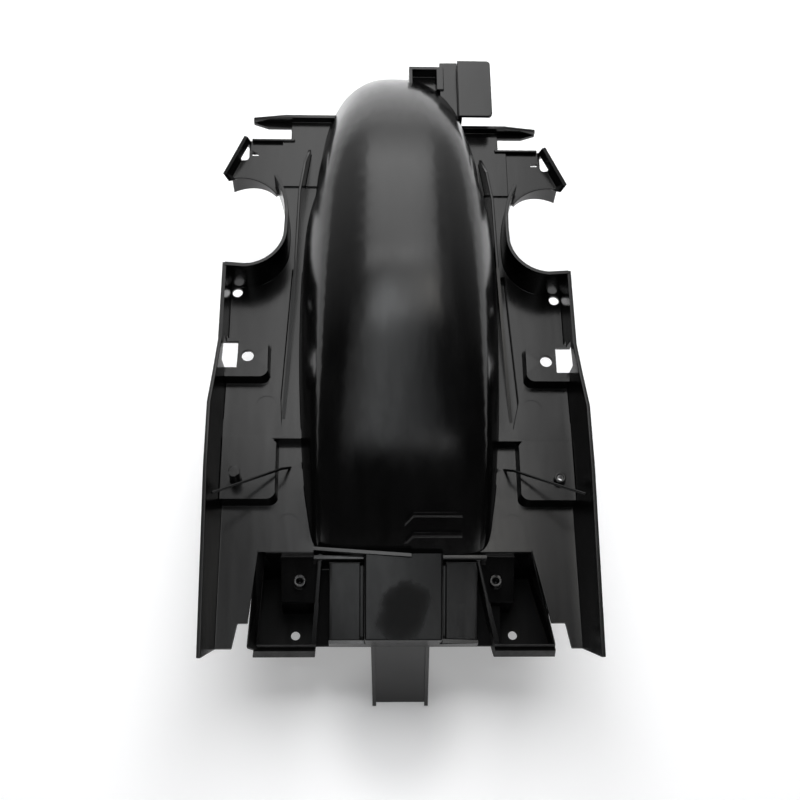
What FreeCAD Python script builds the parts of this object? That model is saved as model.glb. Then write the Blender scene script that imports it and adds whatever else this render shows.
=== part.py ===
"""Motorcycle rear mudguard, one moulding, in millimetres. +Y is the front of the machine, +Z is up."""

import math
import os

import FreeCAD
import Part
from FreeCAD import Vector

# Whole part. Heights below are taken from the top of the front deck, lengths from the middle of the hump.
WALL = 2.5
DECK_HEIGHT = 112.0
REAR_DECK_DROP = 8.0
DECK_HALF_WIDTH = 114.0
STEP_Y = -29.0
DECK_REAR_Y = -101.0
STRIP_REAR_Y = -166.0
REAR_END_Y = -182.0
SIDE_SKEW = 0.0128
CENTRE_SHIFT = 1.5

# Wheel arch: a section swept about the axle. Rows of share of the turn, half width, roundness, side pinch
ARCH_RADIUS = 250.0
ARCH_RISE = 80.0
ARCH_REAR_Y = -106.0
ARCH_DEPTH = 84.0
ARCH_SPANS = 42
ARCH_STATIONS = [
    (-1.00, 66.5, 0.00, 0.0), (-0.87, 67.0, 0.00, 0.0), (-0.69, 67.3, 0.10, 0.0), (-0.48, 67.3, 0.30, 0.0),
    (-0.24, 66.8, 0.50, 0.0), (0.00, 66.0, 0.65, 0.0), (0.09, 65.2, 0.70, 0.0), (0.155, 64.4, 0.68, 0.0),
    (0.195, 62.8, 0.66, 6.0), (0.235, 61.4, 0.63, 6.0), (0.27, 60.0, 0.62, 0.0), (0.36, 57.0, 0.72, 0.0),
    (0.47, 55.0, 0.90, 0.0), (0.60, 53.5, 1.00, 0.0), (0.78, 51.0, 1.00, 0.0), (1.00, 50.0, 1.00, 0.0),
]
SECTION_ROUND = [(0.30, 0.00), (0.62, 0.10), (0.86, 0.28), (1.00, 0.52), (1.04, 1.00)]
SECTION_FLAT = [(0.45, 0.00), (0.86, 0.00), (0.88, 0.22), (0.97, 0.45), (1.00, 1.00)]
PINCH_DEPTH = 0.3
RIDGE_X = (4.0, 9.0, 40.0)
RIDGE_LINES = (-85.0, -95.0)
RIDGE_SECTION = (2.0, 1.2)
RIDGE_BEND = 4.0

# Side walls: rim height and outward lean along the part
WALL_RIM = [(86.0, 28.0), (30.0, 28.0), (-19.0, 36.0), (REAR_END_Y, 34.0)]
WALL_LEAN = [(90.0, 2.0), (30.0, 2.2), (-19.0, 5.8), (-62.0, 6.0), (REAR_END_Y - 1.0, 3.6)]
WALL_LOFT_TOP = 45.0

# Cut-out for the shock absorber
CUT_CORNER_Y = 84.5
CUT_POINTS = [(103.0, 83.5), (84.5, 91.5), (75.0, 114.0), (76.5, 142.0), (84.5, 168.0)]
CUT_RIM = [(60.0, 28.0), (100.0, 29.0), (128.0, 29.0), (169.0, 13.0)]

# Pads, holes and windows on the decks
PAD1_BOX = (85.0, 10.0, 41.0)
PAD1_HEIGHT = 9.0
PAD2_BOX = (78.0, -73.0, STEP_Y + 1.5)
PAD2_HEIGHT = 10.0
PAD_RADIUS = 6.0
PAD_DRAFT = 1.5
HOLE_A = (110.0, 79.5, 7.0)
HOLE_B = (100.3, 26.7, 8.0)
WINDOW = (107.0, 18.0, 37.0, 20.0)
PIN_POSITION = (105.0, -58.0)
PIN_DIAMETER = 7.5
PIN_HEIGHT = 15.0
BOSS_HEIGHT = 5.0
BOSS_BORE = 4.0
MARK_DIAMETER = 13.0
MARK_DEPTH = 0.3
FRONT_MARK = (88.5, -5.0)
REAR_MARK = (72.5, -84.5)

# Ribs
RIB_THICKNESS = 2.0
RIB_PROFILE = [(-15.0, 0.3), (95.0, 18.0), (150.0, 20.0), (174.0, 20.0), (193.0, 8.0)]
RIB_X = [(-15.0, 75.5), (95.0, 69.5), (150.0, 68.0), (193.0, 62.0)]
CHANNEL_WIDTH = {1: 5.5, -1: 2.0}
CHANNEL_DEPTH = 6.0
CHANNEL_Y = (-21.0, 0.0, 98.0)
CHANNEL_GAP = 0.4
BRACE_DIAMETER = 1.8
BRACE_START = (70.3, -45.8)
BRACE_KNEE = (75.3, -52.0, 4.5)
BRACE_END = (117.0, -76.5)

# Front arms and ledges
FRONT_STEP_Y = 171.0
FRONT_STEP = 1.5
ARM_FRONT_Y = 206.0
ARM_CORNER_X = 107.0
ARM_TIP = (119.0, 177.0)
ARM_CURVE = [(118.0, 173.0), (104.0, 172.5), (86.0, 160.0)]
ARM_WALL_TOP = [(109.5, 202.0, 12.0), (124.0, 172.0, 8.0), (120.0, 168.5, 3.0)]
ARM_SKIRT = (18.0, 4.0)
ARM_WINDOW = (106.5, 115.5, 189.0, 202.5)
ARM_WINDOW_RADIUS = 3.0
ARM_SLOT = (99.5, 104.5, 193.0, 195.4)
ARM_LIP = (1.6, 3.0)
LEDGE_FRONT_Y = 224.5
LEDGE_REAR_Y = 218.0
LEDGE_TIP_X = 104.0
LEDGE_INNER_X = 76.0
LEDGE_TAPER = 11.0
LEDGE_WALL = 7.0

# Bracket on the front right
BRACKET_STRIP = (34.0, 47.0, 208.0, 276.0, 10.0)
BRACKET_PLATE = (46.5, 71.0, 219.5, 270.0, 20.0)
BRACKET_CHANNEL = (11.0, 36.5, 250.0, 271.0, 4.0)
BRACKET_RADIUS = 3.0

# Rear panel, box, pockets and tongue
PANEL_X = (-46.0, 50.0)
GUTTER_X = (-56.0, 66.0)
GUTTER_DEPTH = 14.0
PANEL_LINE = [(ARCH_REAR_Y, -14.0), (-154.0, -36.0)]
PANEL_FLANGE = 7.0
PANEL_LIP = 2.0
BOX_X = (-23.5, 27.0)
BOX_HEIGHT = 10.0
BOX_RADIUS = 1.5
BOX_SLOT = (2.7, 6.0)
LIP_LINE = [(-56.0, -101.5), (7.0, -106.0)]
TONGUE_HALF_WIDTH = 19.0
TONGUE_LINE = [(-151.0, -38.0), (-178.0, -DECK_HEIGHT)]
TONGUE_LEAN = 2.0
TONGUE_LIP = 3.0
POCKET_TOP = [(48.6, DECK_REAR_Y), (87.0, DECK_REAR_Y), (92.0, -160.0), (55.0, -160.0)]
POCKET_BOTTOM = [(50.0, -104.0), (92.0, -104.0), (98.0, -159.0), (57.0, -159.0)]
POCKET_SHIFT = {1: 7.0, -1: -3.0}
POCKET_SHIFT_SHARE = (0.0, 0.0, 1.0, 1.0)
POCKET_FLOOR = -58.0
POCKET_RIM = [
    (DECK_REAR_Y, -REAR_DECK_DROP), (-108.0, -10.0), (-157.0, -34.5), (-157.0, -42.0), (-162.0, -42.0),
]
SHELF_LINE = [(-103.5, -15.0), (-130.0, -32.0)]
SHELF_OUTER_X = 75.5
POCKET_HOLE = (70.0, -145.0, 6.0)
SHELF_BOSS = (63.5, -118.5, 8.0, 4.0)
BAND_RIM = [(91.0, -REAR_DECK_DROP), (97.0, -34.5)]
BAND_SLOPE = (-6.2, -7.5)
BAND_DEPTH = 5.0
PANEL_MARK = (-37.0, -126.0, 16.5)
STRIP_NOTCH = [(104.0, STRIP_REAR_Y), (101.0, -150.0)]


def box(x0, x1, y0, y1, z0, z1):
    return Part.makeBox(x1 - x0, y1 - y0, z1 - z0, Vector(x0, y0, z0))


def prism(points, direction):
    wire = Part.makePolygon(points + [points[0]])
    return Part.Face(wire).extrude(direction)


def plate(outline, z_bottom, z_top):
    return prism([Vector(x, y, z_bottom) for x, y in outline], Vector(0, 0, z_top - z_bottom))


def side_prism(outline, x0, x1):
    return prism([Vector(x0, y, z) for y, z in outline], Vector(x1 - x0, 0, 0))


def cylinder(x, y, z_bottom, z_top, diameter):
    return Part.makeCylinder(diameter / 2, z_top - z_bottom, Vector(x, y, z_bottom))


def loft(low, high):
    return Part.makeLoft([Part.makePolygon(low + low[:1]), Part.makePolygon(high + high[:1])], True, True)


def mirrored(shape):
    return shape.mirror(Vector(0, 0, 0), Vector(1, 0, 0))


def between(table, y):
    """Linear reading of a table of (y, value) rows."""
    rows = sorted(table)
    if y <= rows[0][0]:
        return rows[0][1]
    for (y0, v0), (y1, v1) in zip(rows, rows[1:]):
        if y <= y1:
            return v0 + (v1 - v0) * (y - y0) / (y1 - y0)
    return rows[-1][1]


def arch_angle(drop):
    """Angle from the top of the arch to where its outer face is this far below the front deck."""
    return math.acos((ARCH_RADIUS - ARCH_RISE - drop) / ARCH_RADIUS)


def arch_y(angle):
    """Place of the arch's outer face, from its rear end on the rear deck."""
    return ARCH_REAR_Y + ARCH_RADIUS * (math.sin(angle) + math.sin(arch_angle(REAR_DECK_DROP)))


def arch_surface(inset):
    axle_z = ARCH_RISE - ARCH_RADIUS
    first, last = arch_angle(REAR_DECK_DROP + WALL / 2), arch_angle(DECK_HEIGHT + WALL)
    columns = [[(row[0], row[k]) for row in ARCH_STATIONS] for k in (1, 2, 3)]
    poles = []
    for i in range(ARCH_SPANS + 1):
        angle = (last + first) * i / ARCH_SPANS - first
        share = angle / (last if angle > 0 else first)
        half_width, roundness, pinch = [between(column, share) for column in columns]
        half = [(0.0, 0.0)]
        for (xr, dr), (xf, df) in zip(SECTION_ROUND, SECTION_FLAT):
            half.append((xf + (xr - xf) * roundness, df + (dr - df) * roundness))
        section = []
        for x, d in [(-x, d) for x, d in reversed(half[1:])] + half:
            radius = ARCH_RADIUS - inset - d * (ARCH_DEPTH - inset)
            side = half_width - inset - (pinch if d > PINCH_DEPTH else 0.0)
            x_pole = CENTRE_SHIFT + x * side
            y_pole = arch_y(0.0) + radius * math.sin(angle)
            section.append(Vector(x_pole, y_pole, axle_z + radius * math.cos(angle)))
        poles.append(section)

    def knots(count):
        spans = count - 3
        return [4] + [1] * (spans - 1) + [4], [i / spans for i in range(spans + 1)]

    u_mults, u_knots = knots(len(poles))
    v_mults, v_knots = knots(len(poles[0]))
    surface = Part.BSplineSurface()
    surface.buildFromPolesMultsKnots(poles, u_mults, v_mults, u_knots, v_knots, False, False, 3, 3)
    return surface


def arch_shell():
    outer = arch_surface(0.0)
    inner = arch_surface(WALL)
    faces = [outer.toShape(), inner.toShape()]
    for pair in ([(s.uIso(e), s.vIso(e)) for s in (outer, inner)] for e in (0.0, 1.0)):
        for one, other in zip(*pair):
            faces.append(Part.makeRuledSurface(one.toShape(), other.toShape()))
    shell = Part.makeShell(faces)
    shell.sewShape()
    solid = Part.makeSolid(shell)
    if solid.Volume < 0:
        solid.reverse()
    return solid


def under_arch(inset):
    return arch_surface(inset).toShape().extrude(Vector(0, 0, -2 * ARCH_RADIUS))


def arch_ridges():
    """Two low ridges across the rear right of the hump, each turned down at its inner end."""
    width, height = RIDGE_SECTION
    start, knee, end = RIDGE_X
    ridges = []
    for y in RIDGE_LINES:
        line = [(start, y - RIDGE_BEND), (knee, y), (end, y)]
        outline = line + [(x, rear - width) for x, rear in reversed(line)]
        strip = plate(outline, -4 * REAR_DECK_DROP, ARCH_RISE)
        ridges.append(strip.common(under_arch(-height)).cut(under_arch(WALL / 2)))
    return ridges


class Half:
    """One side of the moulding, drawn at positive x. side is 1 on the right and -1 on the left."""

    def __init__(self, side):
        self.side = side

    def y(self, y):
        return y - self.side * SIDE_SKEW * max(0.0, y - DECK_REAR_Y)

    def at(self, points):
        return [(x, self.y(y)) for x, y in points]

    def rows(self, table):
        return [(self.y(y), value) for y, value in table]

    def cut_out_curve(self):
        points = [Vector(x, y, 0) for x, y in self.at(CUT_POINTS)]
        start = Vector(DECK_HALF_WIDTH + WALL, self.y(CUT_CORNER_Y), 0)
        return [
            Part.makeLine(start, points[0]),
            Part.Arc(points[0], points[1], points[2]).toShape(),
            Part.Arc(points[2], points[3], points[4]).toShape(),
        ]

    def front_deck(self):
        edges = self.cut_out_curve()
        step = Vector(DECK_HALF_WIDTH + WALL / 2, self.y(STEP_Y), 0)
        start = edges[0].Vertexes[0].Point
        end = edges[-1].Vertexes[-1].Point
        corner = Vector(step.x, start.y, 0)
        edges[0] = Part.makeLine(corner, edges[0].Vertexes[1].Point)
        loop = Part.makePolygon([end, Vector(0, end.y, 0), Vector(0, step.y, 0), step, corner])
        deck = Part.Face(Part.Wire(edges + loop.Edges)).extrude(Vector(0, 0, -WALL))
        ledge = self.at([
            (0, FRONT_STEP_Y - 2 * WALL), (CUT_POINTS[-1][0] - WALL, FRONT_STEP_Y - 2 * WALL),
            (CUT_POINTS[-1][0] - WALL, ARM_FRONT_Y), (LEDGE_INNER_X, ARM_FRONT_Y),
            (LEDGE_INNER_X, LEDGE_FRONT_Y), (0, LEDGE_FRONT_Y),
        ])
        return [deck, plate(ledge, -WALL, FRONT_STEP)]

    def rear_deck(self):
        top = -REAR_DECK_DROP
        outer = DECK_HALF_WIDTH + WALL / 2
        step = self.y(STEP_Y)
        rear = STRIP_NOTCH[-1][1]
        shift = POCKET_SHIFT[self.side]
        (front_x, front_y), (rear_x, rear_y) = POCKET_TOP[1:3]
        edge = [(front_y, front_x), (rear_y, rear_x + shift)]
        if self.side < 0:
            front_x = BAND_RIM[0][0]
            edge = [(front_y, front_x), (rear_y, BAND_RIM[1][0])]
        inner = between(edge, rear)
        outline = [(0, step), (outer, step), (outer, STRIP_REAR_Y)]
        outline += [(x + max(0.0, shift) / 2, y) for x, y in STRIP_NOTCH]
        outline += [(inner - WALL / 2, rear), (front_x - WALL / 2, DECK_REAR_Y)]
        outline += [(front_x - WALL / 2, DECK_REAR_Y - WALL), (0, DECK_REAR_Y - WALL)]
        riser = box(0, outer, step, step + WALL, top - WALL, 0)
        return [plate(outline, top - WALL, top), riser]

    def side_wall(self):
        low = -REAR_DECK_DROP - WALL
        stretch = (WALL_LOFT_TOP - low) / (WALL_RIM[2][1] - low)

        def loop(z, factor):
            foot = DECK_HALF_WIDTH + WALL
            outer = [Vector(foot + lean * factor, y, z) for y, lean in self.rows(WALL_LEAN)]
            return outer + [p - Vector(WALL, 0, 0) for p in reversed(outer)]

        wall = loft(loop(low, 0.0), loop(WALL_LOFT_TOP, stretch))
        front = self.y(CUT_CORNER_Y) + WALL
        step = self.y(STEP_Y)
        rim = [(front, WALL_RIM[0][1])] + self.rows(WALL_RIM[1:])
        profile = [(front, -WALL), (step, -WALL), (step, low), (STRIP_REAR_Y, low)] + rim[::-1]
        return wall.common(side_prism(profile, 0, 2 * DECK_HALF_WIDTH))

    def cut_out_wall(self):
        wire = Part.Wire(self.cut_out_curve())
        wall = wire.makeOffset2D(WALL, fill=True, openResult=True).extrude(Vector(0, 0, WALL_LOFT_TOP))
        wall.translate(Vector(0, 0, -WALL))
        rows = self.rows(CUT_RIM)
        end = rows[-1][0] + WALL
        profile = [(rows[0][0], -WALL)] + rows + [(end, rows[-1][1]), (end, -WALL)]
        return wall.common(side_prism(profile, 0, 2 * DECK_HALF_WIDTH))

    def pad(self, size, base, height):
        """Raised pad with drafted sides and the hollow under it."""
        x_in, y0, y1 = size[0], self.y(size[1]), self.y(size[2])

        def solid(inset, top):
            outer = DECK_HALF_WIDTH + WALL / 2 - inset
            loops = []
            for z, d in ((base - WALL, inset), (top, inset + PAD_DRAFT)):
                corners = [(x_in + d, y0 + d), (outer, y0 + d), (outer, y1 - d), (x_in + d, y1 - d)]
                loops.append([Vector(x, y, z) for x, y in corners])
            block = loft(*loops)
            limit = x_in + inset + 2 * PAD_DRAFT
            inner = [e for e in block.Edges if e.BoundBox.XMax < limit and e.BoundBox.ZLength > WALL]
            return block.makeFillet(PAD_RADIUS - inset, inner)

        return solid(0.0, base + height), solid(WALL, base + height - WALL)

    def long_rib(self):
        rows = [(between(RIB_X, y), self.y(y), height) for y, height in RIB_PROFILE]
        half = RIB_THICKNESS / 2
        outline = [(x - half, y) for x, y, h in rows] + [(x + half, y) for x, y, h in rows[::-1]]
        rib = plate(outline, -WALL, max(h for x, y, h in rows))
        profile = [(rows[0][1], -WALL)] + [(y, h) for x, y, h in rows] + [(rows[-1][1], -WALL)]
        return rib.common(side_prism(profile, 0, DECK_HALF_WIDTH))

    def channel(self):
        """Trough under the deck along the outer side of the long rib, and the channel in it."""
        width = CHANNEL_WIDTH[self.side]
        tip, full, front = [self.y(y) for y in CHANNEL_Y]
        offset = RIB_THICKNESS / 2 + CHANNEL_GAP
        x_tip, x_full, x_front = [between(RIB_X, y) + offset for y in CHANNEL_Y]
        groove = [(x_tip, tip), (x_full + width, full), (x_front + width, front), (x_front, front)]
        trough = [(x_tip - WALL, tip - WALL), (x_tip + WALL, tip - WALL), (x_full + width + WALL, full)]
        trough += [(x_front + width + WALL, front + WALL), (x_front - WALL, front + WALL)]
        low = -CHANNEL_DEPTH
        return plate(trough, low - WALL, -WALL / 2), plate(groove, low, 1.0)

    def brace(self):
        """Thin bar that rises from the rear deck, clears the pad and ends in the side wall."""
        (x0, y0), (x1, y1) = BRACE_START, BRACE_END
        radius = BRACE_DIAMETER / 2
        start = Vector(x0, self.y(y0), -REAR_DECK_DROP - WALL / 2)
        knee = Vector(BRACE_KNEE[0], self.y(BRACE_KNEE[1]), BRACE_KNEE[2])
        end = Vector(x1, self.y(y1), between(WALL_RIM, y1) - 5 * BRACE_DIAMETER)
        pieces = [Part.makeSphere(radius, knee)]
        for a, b in ((start, knee), (knee, end)):
            pieces.append(Part.makeCylinder(radius, (b - a).Length, a, b - a))
        return pieces[0].multiFuse(pieces[1:])

    def front_arm(self):
        inner = (LEDGE_INNER_X - WALL, ARM_FRONT_Y)
        corners = [Vector(x, y, 0) for x, y in self.at([inner, (ARM_CORNER_X, ARM_FRONT_Y), ARM_TIP])]
        curve = [Vector(x, y, 0) for x, y in self.at(ARM_CURVE)]
        rear = Part.Arc(curve[0], curve[1], curve[2]).toShape()
        loop = Part.makePolygon([curve[2], Vector(corners[0].x, curve[2].y, 0)] + corners + [curve[0]])
        arm = Part.Face(Part.Wire([rear] + loop.Edges)).extrude(Vector(0, 0, -WALL))
        skirt = Part.Wire([rear]).makeOffset2D(WALL, fill=True, openResult=True)
        if skirt.BoundBox.YMax < rear.BoundBox.YMax + WALL / 2:
            skirt = Part.Wire([rear]).makeOffset2D(-WALL, fill=True, openResult=True)
        skirt = skirt.extrude(Vector(0, 0, -max(ARM_SKIRT)))
        far = 2 * DECK_HALF_WIDTH
        outer_drop, inner_drop = ARM_SKIRT
        lower = [(ARM_CURVE[0][0], -outer_drop), (ARM_CURVE[2][0], -inner_drop), (0, -inner_drop)]
        keep = [Vector(x, 0, z) for x, z in [(0, 0), (far, 0), (far, -outer_drop)] + lower]
        skirt = skirt.common(prism(keep, Vector(0, 2 * ARM_FRONT_Y, 0)))
        front, tip, low = corners[1], corners[2], curve[0]
        tops = [Vector(x, self.y(y), z) for x, y, z in ARM_WALL_TOP]
        drop = Vector(0, 0, -WALL)
        pieces = [arm, skirt]
        for a, b, top_a, top_b in ((front, tip, tops[0], tops[1]), (tip, low, tops[1], tops[2])):
            inward = Vector(b.y - a.y, a.x - b.x, 0).normalize() * WALL
            foot = [a + drop, b + drop, b + drop + inward, a + drop + inward]
            pieces.append(loft(foot, [top_a, top_b, top_b + inward, top_a + inward]))
        thick, high = ARM_LIP
        pieces.append(box(inner[0], ARM_CORNER_X - WALL, corners[0].y - thick, corners[0].y, -WALL, high))
        tools = []
        for (x0, x1, y0, y1), radius in ((ARM_WINDOW, ARM_WINDOW_RADIUS), (ARM_SLOT, ARM_LIP[0] / 2)):
            block = box(x0, x1, self.y(y0), self.y(y1), -2 * WALL, WALL)
            upright = [edge for edge in block.Edges if edge.BoundBox.ZLength > WALL]
            tools.append(block.makeFillet(radius, upright))
        return [piece.cut(tools) for piece in pieces]

    def front_ledge(self):
        tip = LEDGE_TIP_X
        rear = [(0, LEDGE_REAR_Y), (tip - LEDGE_TAPER, LEDGE_REAR_Y), (tip, LEDGE_FRONT_Y - WALL)]
        outline = self.at(rear + [(tip, LEDGE_FRONT_Y), (0, LEDGE_FRONT_Y)])
        top = [(tip, LEDGE_WALL / 2), (tip - 2 * LEDGE_TAPER, LEDGE_WALL), (0, LEDGE_WALL)]
        upright = [Vector(x, self.y(LEDGE_FRONT_Y), z) for x, z in [(0, -WALL), (tip, -WALL)] + top]
        return [plate(outline, -WALL, 0), prism(upright, Vector(0, -WALL, 0))]

    def pocket(self):
        shift = POCKET_SHIFT[self.side]
        low = POCKET_FLOOR - WALL

        def corners(points, inset, z):
            moved = []
            signs = ((1, -1), (-1, -1), (-1, 1), (1, 1))
            for (x, y), (sx, sy), share in zip(points, signs, POCKET_SHIFT_SHARE):
                moved.append(Vector(x + shift * share + sx * inset, y + sy * inset, z))
            return moved

        block = loft(corners(POCKET_BOTTOM, 0.0, low), corners(POCKET_TOP, 0.0, -REAR_DECK_DROP))
        rim = POCKET_RIM + [(POCKET_RIM[-1][0], low), (POCKET_RIM[0][0], low)]
        block = block.common(side_prism(rim, 0, 2 * DECK_HALF_WIDTH))
        (y0, z0), (y1, z1) = SHELF_LINE
        slope = (z0 - z1) / (y0 - y1)
        front = y0 + 4 * WALL
        outer = SHELF_OUTER_X
        shelf = [(front, z0 + slope * (front - y0)), (y1, z1), (y1, low), (front, low)]
        shelf = side_prism(shelf, 0, outer)
        cavity = loft(corners(POCKET_BOTTOM, WALL, POCKET_FLOOR), corners(POCKET_TOP, WALL, 0.0)).cut(shelf)
        deep = WALL * math.hypot(1.0, slope)
        rear = y1 + WALL
        under = [(y0, z0 - deep), (rear, z1 - deep + slope * WALL), (rear, low - 1), (y0, low - 1)]
        under = side_prism(under, POCKET_BOTTOM[0][0] + max(0.0, shift) + 2 * WALL, outer - WALL)
        x, y, diameter, bore = SHELF_BOSS
        z = between(SHELF_LINE, y)
        boss = cylinder(x, y, z - 3 * WALL, z + WALL, diameter)
        bore = cylinder(x, y, z - 2 * WALL, z + 4 * WALL, bore)
        hole = cylinder(POCKET_HOLE[0] + shift, POCKET_HOLE[1], low - 1, POCKET_FLOOR + 1, POCKET_HOLE[2])
        if self.side < 0:
            band, above = self.pocket_band()
            block = block.cut(above).fuse(band)
        return block.cut([cavity, under]).fuse(boss).cut([bore, hole])

    def pocket_band(self):
        """Sloped band inside the outer rim of the left pocket, and the room above it."""
        (x0, z0), (x1, z1) = BAND_RIM
        start = Vector(x0, DECK_REAR_Y - WALL / 4, z0)
        run = Vector(x1, POCKET_RIM[2][0] - WALL / 2, z1) - start
        slope = Vector(BAND_SLOPE[0], 0, BAND_SLOPE[1])
        pair = []
        for height in (-BAND_DEPTH, REAR_DECK_DROP + DECK_HEIGHT / 4):
            up = Vector(0, 0, height)
            pair.append(prism([start, start + slope, start + slope + up, start + up], run))
        return pair

    def marks(self):
        low = -REAR_DECK_DROP
        shift = self.side * CENTRE_SHIFT
        rows = [(FRONT_MARK, 0.0), (REAR_MARK, low)]
        return [cylinder(x + shift, self.y(y), z - MARK_DEPTH, z + 1, MARK_DIAMETER) for (x, y), z in rows]

    def build(self):
        pad1, hollow1 = self.pad(PAD1_BOX, 0.0, PAD1_HEIGHT)
        pad2, hollow2 = self.pad(PAD2_BOX, -REAR_DECK_DROP, PAD2_HEIGHT)
        pieces = self.front_deck() + self.rear_deck() + self.front_arm() + self.front_ledge()
        trough, groove = self.channel()
        pieces += [self.side_wall(), self.cut_out_wall(), pad1, pad2, self.pocket(), trough]
        ax, ay, ad = HOLE_A
        bx, by, bd = HOLE_B
        wx, wy0, wy1, wz = WINDOW
        far = wx + DECK_HALF_WIDTH
        under = PAD1_HEIGHT - WALL
        tools = [
            hollow1, hollow2, groove,
            cylinder(ax, self.y(ay), -2 * WALL, 2 * WALL, ad),
            cylinder(bx, self.y(by), -2 * WALL, 2 * PAD1_HEIGHT, bd),
            box(wx, far, self.y(wy0), self.y(wy1), -2 * WALL, wz),
            box(wx, far, self.y(wy0), self.y(PAD1_BOX[2]) + WALL, -2 * WALL, under),
        ]
        body = pieces[0].multiFuse(pieces[1:]).cut(tools + self.marks())
        body = body.multiFuse([self.long_rib(), self.brace()])
        return body if self.side > 0 else mirrored(body)


def front_bracket():
    x0, x1, y0, y1, z = BRACKET_STRIP
    strip = box(x0, x1, y0, y1, z - WALL, z)
    web = box(x0, x0 + WALL, y0, y1, z - 4 * WALL, z)
    px0, px1, py0, py1, pz = BRACKET_PLATE
    top = box(px0, px1, py0, py1, pz - WALL, pz)
    corners = [e for e in top.Edges if e.BoundBox.ZLength > WALL / 2 and e.BoundBox.XMin > px0]
    upright = box(px0, px0 + WALL, py0, py1, z - WALL, pz)
    cx0, cx1, cy0, cy1, depth = BRACKET_CHANNEL
    channel = box(cx0, cx1, cy0, cy1, z - 4 * WALL, z - WALL + depth)
    channel = channel.cut(box(cx0 + WALL, cx1 - 2 * WALL, cy0 - 1, cy1 - WALL, z - 3 * WALL, z + depth))
    return [strip, web, top.makeFillet(BRACKET_RADIUS, corners), upright, channel]


def sloped(x0, x1, top, bottom):
    """Slab along the slope of the rear panel, between two heights over its face."""
    (y0, z0), (y1, z1) = PANEL_LINE
    return side_prism([(y0, z0 + top), (y1, z1 + top), (y1, z1 + bottom), (y0, z0 + bottom)], x0, x1)


def rear_box():
    """Raised box on the panel, and the room under it."""
    (y0, z0), (y1, z1) = PANEL_LINE
    x0, x1 = BOX_X
    rear = y1 - WALL
    outer = [(y0, z0 + BOX_HEIGHT), (rear, z1 + BOX_HEIGHT), (rear, z1 - WALL), (y0, z0 - WALL)]
    outer = side_prism(outer, x0, x1)
    upper = []
    for edge in outer.Edges:
        middle = edge.CenterOfMass
        if middle.z > between(PANEL_LINE, middle.y) + BOX_HEIGHT / 3 and middle.y < y0 - 1:
            upper.append(edge)
    low = BOX_HEIGHT - WALL
    hollow = [(y0 - WALL, z0 + low), (y1, z1 + low), (y1, z1 - 2 * WALL), (y0 - WALL, z0 - 2 * WALL)]
    return outer.makeFillet(BOX_RADIUS, upper), side_prism(hollow, x0 + WALL, x1 - WALL)


def rear_panel():
    (y0, z0), (y1, z1) = PANEL_LINE
    x0, x1 = PANEL_X
    deep = GUTTER_DEPTH
    block, hollow = rear_box()
    pieces, tools = [block], [hollow]
    width, depth = BOX_SLOT
    for x in (BOX_X[0] - width, BOX_X[1]):
        pieces.append(sloped(x - WALL, x + width + WALL, -WALL / 2, -depth - WALL))
        tools.append(sloped(x, x + width, WALL, -depth))
    x, y, diameter = PANEL_MARK
    normal = Vector(0, z1 - z0, y0 - y1).normalize()
    spot = Vector(x, y, between(PANEL_LINE, y)) - normal * MARK_DEPTH
    tools.append(Part.makeCylinder(diameter / 2, WALL, spot, normal))
    body = sloped(x0, x1, 0.0, -WALL).multiFuse(pieces).cut(tools)
    low, high = z0 - deep - WALL, -REAR_DECK_DROP + WALL / 4
    bulkhead = box(GUTTER_X[0], x1 + 2 * WALL, y0 - WALL, y0, low, high)
    rim = LIP_LINE + [(x, y - WALL) for x, y in reversed(LIP_LINE)]
    flange = box(x0, x1, y1 - WALL, y1, z1 - PANEL_FLANGE, z1 + PANEL_LIP)
    cheeks = [sloped(x0, x0 + WALL, 0.0, -deep), sloped(x1 - WALL, x1, 0.0, -deep)]
    gutters = [sloped(GUTTER_X[0], x0 + WALL, -deep, -deep - WALL)]
    gutters.append(sloped(x1 - WALL, GUTTER_X[1], -deep, -deep - WALL))
    return [body, bulkhead, plate(rim, high - 2 * WALL, -WALL), flange] + cheeks + gutters


def tongue():
    (y0, z0), (y1, z1) = TONGUE_LINE
    half = TONGUE_HALF_WIDTH
    run = Vector(TONGUE_LEAN, y1 - y0, z1 - z0)
    inward = Vector(0, z0 - z1, y1 - y0).normalize()
    left = Vector(-half, y0, z0)
    across = Vector(2 * half, 0, 0)
    lip = Vector(WALL, 0, 0)
    pieces = [prism([left, left + across, left + across + run, left + run], inward * WALL)]
    for corner in (left, left + across - lip):
        pieces.append(prism([corner, corner + lip, corner + lip + run, corner + run], inward * -TONGUE_LIP))
    return pieces


def middle():
    pieces = rear_panel() + tongue()
    for piece in pieces:
        piece.translate(Vector(CENTRE_SHIFT, 0, 0))
    return pieces


def pins():
    x, y = PIN_POSITION
    top = PAD2_HEIGHT - REAR_DECK_DROP
    boss = cylinder(x, y, top - WALL, top + BOSS_HEIGHT, PIN_DIAMETER)
    bore = cylinder(x, y, top - 2 * WALL, top + 2 * BOSS_HEIGHT, BOSS_BORE)
    pin = cylinder(-x, y, top - WALL, top + PIN_HEIGHT, PIN_DIAMETER)
    return [boss, pin], bore


def build():
    studs, bore = pins()
    pieces = [Half(1).build(), Half(-1).build()] + middle() + studs + front_bracket()
    body = pieces[0].multiFuse(pieces[1:]).cut([bore, under_arch(WALL / 2)])
    body = body.fuse(arch_shell().multiFuse(arch_ridges()))
    reach = 4 * ARCH_RADIUS
    floor = box(-reach, reach, -reach, reach, -reach, -DECK_HEIGHT)
    return body.cut(floor)


part = build()
front_end_y = arch_y(arch_angle(DECK_HEIGHT))
part.translate(Vector(0, -(front_end_y + REAR_END_Y) / 2, DECK_HEIGHT))
os.makedirs("parts", exist_ok=True)
part.exportStep("parts/rear_mudguard.step")
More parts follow.
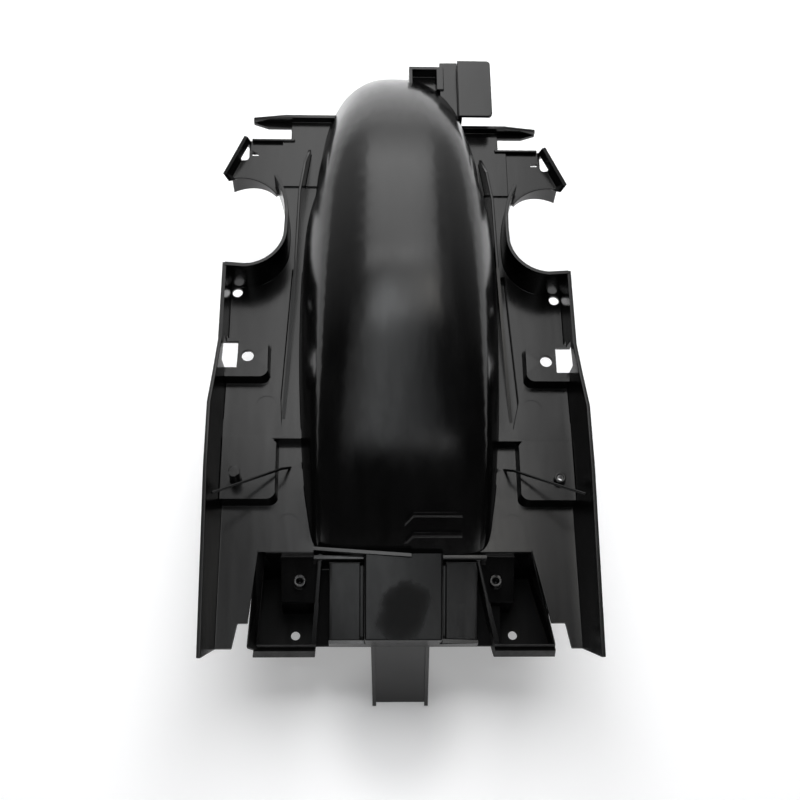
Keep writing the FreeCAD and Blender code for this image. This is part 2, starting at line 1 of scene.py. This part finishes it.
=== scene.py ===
"""Black moulded rear mudguard on a pale studio floor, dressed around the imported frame. Metres, +Z up."""

import math

import bmesh
import bpy
from mathutils import Matrix, Vector
from mathutils.bvhtree import BVHTree
from mathutils.geometry import intersect_point_line


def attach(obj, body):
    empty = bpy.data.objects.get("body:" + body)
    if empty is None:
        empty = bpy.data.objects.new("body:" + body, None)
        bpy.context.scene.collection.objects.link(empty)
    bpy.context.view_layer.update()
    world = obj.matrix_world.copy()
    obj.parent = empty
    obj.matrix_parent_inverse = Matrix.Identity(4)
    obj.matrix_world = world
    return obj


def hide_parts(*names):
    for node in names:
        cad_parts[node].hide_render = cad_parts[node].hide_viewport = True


NODE = "rear_mudguard"
PIECE = "mudguard_moulding"

# Camera: where it stands, its three axes and its lens
CAMERA_EYE = (-0.0264, -0.4309, 0.8824)
CAMERA_RIGHT = (0.999446, -0.010494, 0.031688)
CAMERA_UP = (-0.003839, 0.906857, 0.421430)
CAMERA_LENS = 57.15
SENSOR = 36.0

# Moulded edges: those that bend by more than EDGE_ANGLE are rounded
# where the flat on each side is at least EDGE_ROOM wide
EDGE_RADIUS = 0.00045
EDGE_SEGMENTS = 3
EDGE_ANGLE = 32.0
EDGE_ROOM = 0.0010
FLAT_ANGLE = 1.0
CREASE_ANGLE = 36.0
WELD = 0.000002

# Faults of the rounding: how far it may stand off the solid, what counts as a fold, and how wide
# the edges around a fault are left sharp, more at each try
EDGE_REACH = 0.0005
FOLD_AREA = 0.0000005
FOLD_TURN = -0.5
EDGE_LEAVE = 0.0010
EDGE_TRIES = 12

# Black polypropylene; the glossy and the recessed finish have two roughnesses and a specular level, the
# recessed one's lower specular level being painted shade in the deep recesses
PLASTIC_DARK = (0.0020, 0.0020, 0.0021, 1.0)
PLASTIC_LIGHT = (0.0048, 0.0048, 0.0049, 1.0)
PLASTIC_IOR = 1.49
GLOSSY_FINISH = (0.16, 0.23, 0.5)
RECESS_FINISH_AND_SHADE = (0.55, 0.75, 0.25)

# Noise in the plastic: its stretch each way, where it has one, then scale, detail and roughness
CLOUD = (22.0, 4.0, 0.6)
GRAIN = (2600.0, 2.0, 0.6)
FLOW_SCALE, FLOW = (90.0, 9.0, 30.0), (1.0, 5.0, 0.62)
SCUFF_SCALE, SCUFF = (300.0, 40.0, 300.0), (1.0, 3.0, 0.6)
WAVE_SCALE, WAVE = (60.0, 14.0, 30.0), (1.0, 2.0, 0.5)
TONE_CLOUD, TONE_FLOW, TONE_SPAN = 0.55, 0.45, (0.3, 0.7)
STREAK_FLOW, STREAK_SCUFF, STREAK_SPAN = 0.7, 0.3, (0.3, 0.72)
GRAIN_BUMP = {"Strength": 0.12, "Distance": 0.0001}
WAVE_BUMP = {"Strength": 0.15, "Distance": 0.0006}

# Dull rubbed patch on the raised box
RUB_CENTRE = (0.004, -0.212, 0.093)
RUB_REACH = (0.017, 0.020, 0.016)
RUB_RAGGED = 1.4
RUB_RIM = (0.55, 1.15)
RUB_DULL = 0.45

# Deep recesses, rougher and darkened by painted shade through a lower specular level: how far out, how far
# back and how high they reach
RECESS_X = (0.046, 0.101)
RECESS_Y = (-0.2345, -0.172)
RECESS_TOP = 0.080

# Floor: its glow rises with the distance, and is less behind the tongue, a painted shadow laid over the
# real one there
FLOOR_SIZE = 60.0
FLOOR_COLOUR = (0.86, 0.86, 0.87, 1.0)
FLOOR_GLOSS = 0.22
FLOOR_GLOW = 0.29
FLOOR_FADE = (0.6, 2.5)
FLOOR_FAR_GLOW = 0.75
PAINTED_SHADOW_CENTRE = (0.0, -0.270, 0.0)
PAINTED_SHADOW_REACH = (0.055, 0.060, 1.0)
PAINTED_SHADOW_RIM = (0.3, 1.0)
PAINTED_SHADOW_GLOW = 0.5

# Sky: dim behind the camera, brighter ahead of it, and white low over the floor
SKY_RISE = (-0.1, 1.0)
SKY_LEVELS = (0.02, 0.60)
HAZE_RISE = (0.09, 0.13)

# Lamps
WHITE = (1.0, 1.0, 1.0, 1.0)
COOL = (0.95, 0.98, 1.0, 1.0)
WARM = (1.0, 0.96, 0.88, 1.0)
LAMP_AIM = (0.0, 0.0, 0.11)
LAMP_EDGE = 0.5001
# name, place, size, radiance, fade
FRONT_LAMPS = (
    ("front_panel", (0.02, 1.14, 1.22), (0.98, 2.10), 2.2, (0.36, 0.33)),
    ("front_top", (-0.02, 0.62, 1.70), (0.78, 0.30), 1.9, (0.30, 0.35)),
    ("front_low", (0.04, 2.00, 0.50), (1.30, 0.90), 0.5, (0.45, 0.45)),
)
# name, place, size, radiance, colour, fade; each has a height of its own, so that none lies in another
OVERHEAD_LAMPS = (
    ("ceiling", (-0.13, -0.36, 1.08), (0.40, 1.46), 0.5, WHITE, (0.45, 0.30)),
    ("ceiling_core", (-0.005, -0.42, 1.05), (0.19, 1.24), 1.6, COOL, (0.40, 0.20)),
    ("crown_base", (0.05, 0.12, 1.07), (0.34, 0.48), 1.2, WHITE, (0.40, 0.40)),
    ("crown_cool", (-0.025, 0.05, 1.02), (0.11, 0.42), 4.4, COOL, (0.48, 0.45)),
    ("crown_warm", (0.14, 0.12, 1.03), (0.09, 0.34), 4.0, WARM, (0.48, 0.45)),
    ("right_soft", (0.18, 0.30, 1.06), (0.46, 0.80), 0.5, WHITE, (0.45, 0.35)),
    ("tail_right", (0.14, -0.87, 1.04), (0.11, 0.18), 2.2, WHITE, (0.3, 0.3)),
)
KEY_PLACE, KEY_SIZE, KEY_RADIANCE = (0.0, 1.1, 2.4), (2.0, 2.0), 4.1


class Nodes:
    """Short way to add and join shader nodes."""

    def __init__(self, tree):
        self.tree = tree
        tree.nodes.clear()

    def add(self, kind, inputs=None, **settings):
        node = self.tree.nodes.new("ShaderNode" + kind)
        for name, value in settings.items():
            setattr(node, name, value)
        for name, value in (inputs or {}).items():
            if isinstance(value, bpy.types.NodeSocket):
                self.tree.links.new(value, node.inputs[name])
            else:
                node.inputs[name].default_value = value
        return node

    def span(self, value, low, high, to_low, to_high):
        """Value mapped from one range to another, held at its ends."""
        ranges = {1: low, 2: high, 3: to_low, 4: to_high}
        node = self.add("MapRange", {0: value, **ranges}, interpolation_type="SMOOTHSTEP")
        return node.outputs[0]

    def noise(self, vector, scale, detail, rough):
        inputs = {"Vector": vector, "Scale": scale, "Detail": detail, "Roughness": rough}
        return self.add("TexNoise", inputs).outputs["Fac"]

    def stretched(self, vector, scale):
        return self.add("Mapping", {"Vector": vector, "Scale": scale}).outputs["Vector"]

    def mix(self, factor, one, two):
        node = self.add("Mix", {0: factor, 6: one, 7: two}, data_type="RGBA")
        return node.outputs[2]

    def length(self, vector):
        return self.add("VectorMath", {0: vector}, operation="LENGTH").outputs["Value"]

    def away(self, vector, centre, reach):
        """Distance from a centre, in units of its reach each way."""
        moved = self.add("VectorMath", {0: vector, 1: centre}, operation="SUBTRACT").outputs[0]
        return self.length(self.add("VectorMath", {0: moved, 1: reach}, operation="DIVIDE").outputs[0])

    def math(self, operation, one, two):
        return self.add("Math", {0: one, 1: two}, operation=operation).outputs[0]

    def blend(self, one, share_one, two, share_two):
        one, two = self.math("MULTIPLY", one, share_one), self.math("MULTIPLY", two, share_two)
        return self.math("ADD", one, two)


def new_material(name):
    material = bpy.data.materials.new(name)
    material.use_nodes = True
    return material, Nodes(material.node_tree)


def plastic(name, smooth, dull, specular):
    """Black plastic between two roughnesses: flow lines, clouds, fine grain and a rubbed patch."""
    material, n = new_material(name)
    place = n.add("TexCoord").outputs["Object"]
    cloud = n.noise(place, *CLOUD)
    flow = n.noise(n.stretched(place, FLOW_SCALE), *FLOW)
    scuff = n.noise(n.stretched(place, SCUFF_SCALE), *SCUFF)
    grain = n.noise(place, *GRAIN)
    wave = n.noise(n.stretched(place, WAVE_SCALE), *WAVE)
    ragged = n.math("MULTIPLY", n.math("SUBTRACT", cloud, 0.5), RUB_RAGGED)
    rub = n.math("ADD", n.away(place, RUB_CENTRE, RUB_REACH), ragged)
    rub = n.span(rub, *RUB_RIM, 1.0, 0.0)

    tone = n.blend(cloud, TONE_CLOUD, flow, TONE_FLOW)
    colour = n.mix(n.span(tone, *TONE_SPAN, 0.0, 1.0), PLASTIC_DARK, PLASTIC_LIGHT)
    streak = n.blend(flow, STREAK_FLOW, scuff, STREAK_SCUFF)
    streak = n.span(streak, *STREAK_SPAN, smooth, dull)
    rough = n.math("ADD", streak, n.math("MULTIPLY", rub, RUB_DULL))
    fine = n.add("Bump", {**GRAIN_BUMP, "Height": grain})
    broad = n.add("Bump", {**WAVE_BUMP, "Height": wave, "Normal": fine.outputs[0]})
    shader = n.add("BsdfPrincipled", {
        "Base Color": colour, "Roughness": rough, "Normal": broad.outputs[0],
        "IOR": PLASTIC_IOR, "Specular IOR Level": specular,
    })
    n.add("OutputMaterial", {"Surface": shader.outputs[0]})
    return material


def seen_directly(n):
    """1 for rays from the camera and for reflections and refractions, 0 for the rest."""
    ray = n.add("LightPath").outputs
    seen = n.math("MAXIMUM", ray["Is Camera Ray"], ray["Is Glossy Ray"])
    return n.math("MAXIMUM", seen, ray["Is Transmission Ray"])


def floor_material():
    """Pale sheet that keeps the shadow near the part, adds a painted shadow behind the tongue, and stays
    white further out.
    """
    material, n = new_material("pale_floor")
    seen = seen_directly(n)
    place = n.add("TexCoord").outputs["Object"]
    level = n.span(n.length(place), *FLOOR_FADE, FLOOR_GLOW, FLOOR_FAR_GLOW)
    # painted shadow: the glow drops to half around the foot of the tongue
    shade = n.span(n.away(place, PAINTED_SHADOW_CENTRE, PAINTED_SHADOW_REACH), *PAINTED_SHADOW_RIM, PAINTED_SHADOW_GLOW, 1.0)
    level = n.math("MULTIPLY", level, shade)
    sheet = n.add("BsdfPrincipled", {"Base Color": FLOOR_COLOUR, "Roughness": FLOOR_GLOSS})
    glow = n.add("Emission", {"Color": WHITE, "Strength": n.math("MULTIPLY", seen, level)})
    both = n.add("AddShader", {0: sheet.outputs[0], 1: glow.outputs[0]})
    n.add("OutputMaterial", {"Surface": both.outputs[0]})
    return material


def evaluated(piece):
    """A new mesh of the piece with its modifiers applied."""
    graph = bpy.context.evaluated_depsgraph_get()
    shown = piece.evaluated_get(graph)
    return bpy.data.meshes.new_from_object(shown, preserve_all_data_layers=True, depsgraph=graph)


def has_room(face, ends):
    """Whether the flat area a face belongs to reaches far enough sideways from the line of its edge."""
    flat = math.radians(FLAT_ANGLE)
    seen, queue = {face}, [face]
    while queue:
        part = queue.pop()
        if any((intersect_point_line(v.co, *ends)[0] - v.co).length > EDGE_ROOM for v in part.verts):
            return True
        for edge in part.edges:
            for other in edge.link_faces:
                if other not in seen and other.normal.angle(face.normal, math.pi) < flat:
                    seen.add(other)
                    queue.append(other)
    return False


def roomy_edges(mesh):
    """Ends of each sharp edge that has room to be rounded, by its index."""
    shape = bmesh.new()
    shape.from_mesh(mesh)
    found = {}
    for edge in shape.edges:
        if edge.calc_face_angle(0.0) > math.radians(EDGE_ANGLE):
            ends = [v.co.copy() for v in edge.verts]
            if all(has_room(face, ends) for face in edge.link_faces):
                found[edge.index] = ends
    shape.free()
    return found


def faults(mesh, solid):
    """Points of the solid where a rounded edge stands off it or leaves the skin open or folded."""
    shape = bmesh.new()
    shape.from_mesh(mesh)
    bmesh.ops.remove_doubles(shape, verts=shape.verts, dist=WELD)
    points = [v.co.copy() for e in shape.edges if not e.is_manifold for v in e.verts]
    points += [v.co.copy() for v in shape.verts if solid.find_nearest(v.co)[3] > EDGE_REACH]
    bmesh.ops.triangulate(shape, faces=shape.faces)
    for face in shape.faces:
        if face.calc_area() > FOLD_AREA:
            skin = solid.find_nearest(face.calc_center_median())[1]
            if face.normal.dot(skin) < FOLD_TURN:
                points += [v.co.copy() for v in face.verts]
    shape.free()
    return [solid.find_nearest(point)[0] for point in points]


def distance(point, ends):
    """How far a point lies from an edge, its ends included."""
    share = intersect_point_line(point, *ends)[1]
    return (ends[0].lerp(ends[1], min(max(share, 0.0), 1.0)) - point).length


def rounded(node):
    """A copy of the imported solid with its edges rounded, save those with no room or with a fault."""
    piece = node.copy()
    piece.data = node.data.copy()
    piece.name = PIECE
    bpy.context.scene.collection.objects.link(piece)
    weld = piece.modifiers.new("weld", "WELD")
    weld.merge_threshold = WELD
    welded = evaluated(piece)
    piece.modifiers.clear()
    piece.data = welded
    solid = BVHTree.FromObject(piece, bpy.context.evaluated_depsgraph_get())
    edge = piece.modifiers.new("edge", "BEVEL")
    edge.width = EDGE_RADIUS
    edge.segments = EDGE_SEGMENTS
    edge.limit_method = "WEIGHT"
    edge.use_clamp_overlap = False
    weight = welded.attributes.new("bevel_weight_edge", "FLOAT", "EDGE")
    roomy = roomy_edges(welded)
    for index in roomy:
        weight.data[index].value = 1.0
    for attempt in range(EDGE_TRIES):
        mesh = evaluated(piece)
        bad = faults(mesh, solid)
        if not bad:
            break
        reach = EDGE_LEAVE * (attempt + 1)
        for index, ends in roomy.items():
            if weight.data[index].value and any(distance(point, ends) < reach for point in bad):
                weight.data[index].value = 0.0
        welded.update()
    piece.modifiers.clear()
    piece.data = mesh
    mesh.name = PIECE
    shape = bmesh.new()
    shape.from_mesh(mesh)
    bmesh.ops.remove_doubles(shape, verts=shape.verts, dist=WELD)
    for face in shape.faces:
        face.smooth = True
    for seam in shape.edges:
        seam.smooth = seam.calc_face_angle(0.0) < math.radians(CREASE_ANGLE)
    shape.to_mesh(mesh)
    shape.free()
    normals = piece.modifiers.new("normals", "WEIGHTED_NORMAL")
    normals.keep_sharp = True
    return piece


def dress(node):
    """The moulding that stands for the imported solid, in its plastic."""
    piece = rounded(node)
    piece.data.materials.clear()
    piece.data.materials.append(plastic("black_polypropylene", *GLOSSY_FINISH))
    # the recess material is rougher and has a lower specular level, which paints shade into the deep
    # recesses
    piece.data.materials.append(plastic("recess_polypropylene_painted_shade", *RECESS_FINISH_AND_SHADE))
    for face in piece.data.polygons:
        x, y, z = face.center
        within = RECESS_X[0] < abs(x) < RECESS_X[1] and RECESS_Y[0] < y < RECESS_Y[1]
        face.material_index = int(within and z < RECESS_TOP)
    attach(piece, "root")
    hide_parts(NODE)


def floor():
    half = FLOOR_SIZE / 2
    mesh = bpy.data.meshes.new("floor")
    corners = [(-half, -half, 0), (half, -half, 0), (half, half, 0), (-half, half, 0)]
    mesh.from_pydata(corners, [], [(0, 1, 2, 3)])
    ground = bpy.data.objects.new("floor", mesh)
    mesh.materials.append(floor_material())
    bpy.context.scene.collection.objects.link(ground)


def lamp(name, place, target, size, radiance, colour=WHITE, fade=(0.0, 0.0)):
    """A flat panel of light facing a point; fade is the share of each side over which its rim dims."""
    data = bpy.data.lights.new(name, "AREA")
    data.shape = "RECTANGLE"
    data.size, data.size_y = size
    data.energy = radiance * math.pi * size[0] * size[1]
    data.color = colour[:3]
    data.use_nodes = True
    n = Nodes(data.node_tree)
    across = n.add("SeparateXYZ", {0: n.add("NewGeometry").outputs["Parametric"]}).outputs
    level = 1.0
    for side, share in zip("XY", fade):
        middle = n.math("ABSOLUTE", n.math("SUBTRACT", across[side], 0.5), 0.0)
        level = n.math("MULTIPLY", level, n.span(middle, 0.5 - share, LAMP_EDGE, 1.0, 0.0))
    shine = n.add("Emission", {"Color": WHITE, "Strength": level})
    n.add("OutputLight", {"Surface": shine.outputs[0]})
    light = bpy.data.objects.new(name, data)
    light.location = place
    light.rotation_mode = "QUATERNION"
    light.rotation_quaternion = (Vector(target) - Vector(place)).to_track_quat("-Z", "Y")
    light.visible_camera = False
    bpy.context.scene.collection.objects.link(light)
    return light


def studio():
    """Panels in front and overhead, and a key that lights the part without showing in it."""
    for name, place, size, radiance, fade in FRONT_LAMPS:
        lamp(name, place, LAMP_AIM, size, radiance, WHITE, fade)
    for name, place, size, radiance, colour, fade in OVERHEAD_LAMPS:
        lamp(name, place, (place[0], place[1], 0.0), size, radiance, colour, fade)
    key = lamp("key", KEY_PLACE, LAMP_AIM, KEY_SIZE, KEY_RADIANCE)
    key.visible_glossy = False


def sky():
    world = bpy.data.worlds.new("studio")
    bpy.context.scene.world = world
    world.use_nodes = True
    n = Nodes(world.node_tree)
    direction = n.add("SeparateXYZ", {0: n.add("TexCoord").outputs["Generated"]}).outputs
    level = n.span(direction["Y"], *SKY_RISE, *SKY_LEVELS)
    haze = n.math("MULTIPLY", seen_directly(n), n.span(direction["Z"], *HAZE_RISE, 1.0, 0.0))
    level = n.math("MAXIMUM", level, haze)
    shade = n.add("Background", {"Color": WHITE, "Strength": level})
    n.add("OutputWorld", {"Surface": shade.outputs[0]})


def camera():
    data = bpy.data.cameras.new("camera")
    data.lens = CAMERA_LENS
    data.sensor_width = SENSOR
    view = bpy.data.objects.new("camera", data)
    right, up = Vector(CAMERA_RIGHT), Vector(CAMERA_UP)
    axes = Matrix((right, up, right.cross(up))).transposed()
    view.matrix_world = Matrix.Translation(CAMERA_EYE) @ axes.to_4x4()
    bpy.context.scene.collection.objects.link(view)
    bpy.context.scene.camera = view


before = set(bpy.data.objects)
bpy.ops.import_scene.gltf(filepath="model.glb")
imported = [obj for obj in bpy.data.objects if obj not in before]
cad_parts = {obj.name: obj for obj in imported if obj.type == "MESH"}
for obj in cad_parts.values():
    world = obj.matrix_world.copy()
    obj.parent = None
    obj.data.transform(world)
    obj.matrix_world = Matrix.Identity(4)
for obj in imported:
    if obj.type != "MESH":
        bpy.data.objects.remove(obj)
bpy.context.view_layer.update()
dress(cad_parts[NODE])
floor()
studio()
sky()
camera()
bpy.context.scene.view_settings.view_transform = "Standard"
